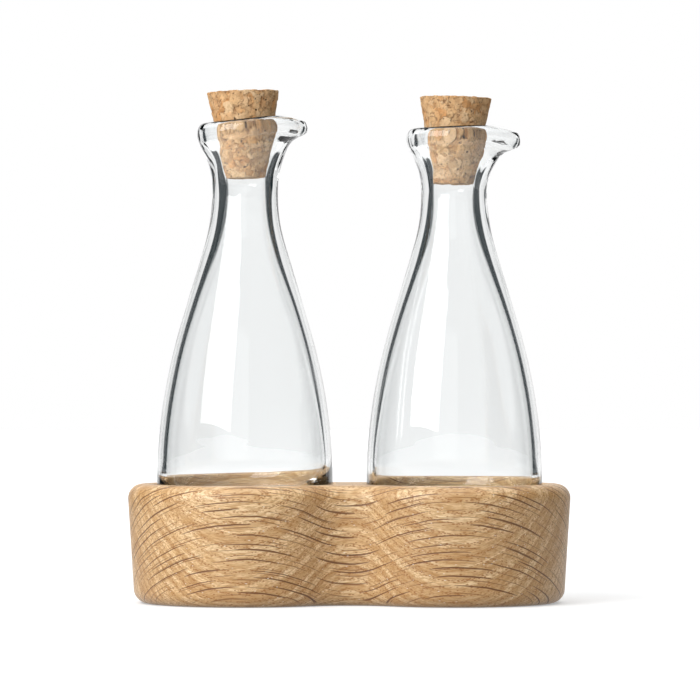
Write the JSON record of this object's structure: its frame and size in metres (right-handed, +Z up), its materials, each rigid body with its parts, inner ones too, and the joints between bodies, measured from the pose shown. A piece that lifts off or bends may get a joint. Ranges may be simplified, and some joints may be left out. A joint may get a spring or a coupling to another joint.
{
  "type": "cruet set",
  "caption": "Oil and vinegar set: blown glass bottles with pouring lips and cork stoppers, standing in round recesses of a solid oak holder.",
  "frame": {"origin": "centre of the oak holder's underside, on the table", "axes": "+Z up, +X along the row of bottles towards the side that the pouring lips point to, +Y towards the back of the holder"},
  "size_m": [0.1862, 0.0976, 0.2155],
  "materials": {
    "oak": "satin",
    "clear_glass": "polished",
    "cork": "matte"
  },
  "bodies": {
    "holder": {"holder": "oak"},
    "bottle_left": {"bottle_left": "clear_glass"},
    "bottle_right": {"bottle_right": "clear_glass"},
    "stopper_left": {"stopper_left": "cork"},
    "stopper_right": {"stopper_right": "cork"}
  },
  "joints": [
    {"name": "lift_bottle_left", "type": "slide", "parent": "holder", "child": "bottle_left", "axis": [0, 0, 1], "range_m": [0, 0.05]},
    {"name": "pull_stopper_left", "type": "slide", "parent": "bottle_left", "child": "stopper_left", "axis": [0, 0, 1], "range_m": [0, 0.05]},
    {"name": "lift_bottle_right", "type": "slide", "parent": "holder", "child": "bottle_right", "axis": [0, 0, 1], "range_m": [0, 0.05]},
    {"name": "pull_stopper_right", "type": "slide", "parent": "bottle_right", "child": "stopper_right", "axis": [0, 0, 1], "range_m": [0, 0.05]}
  ]
}
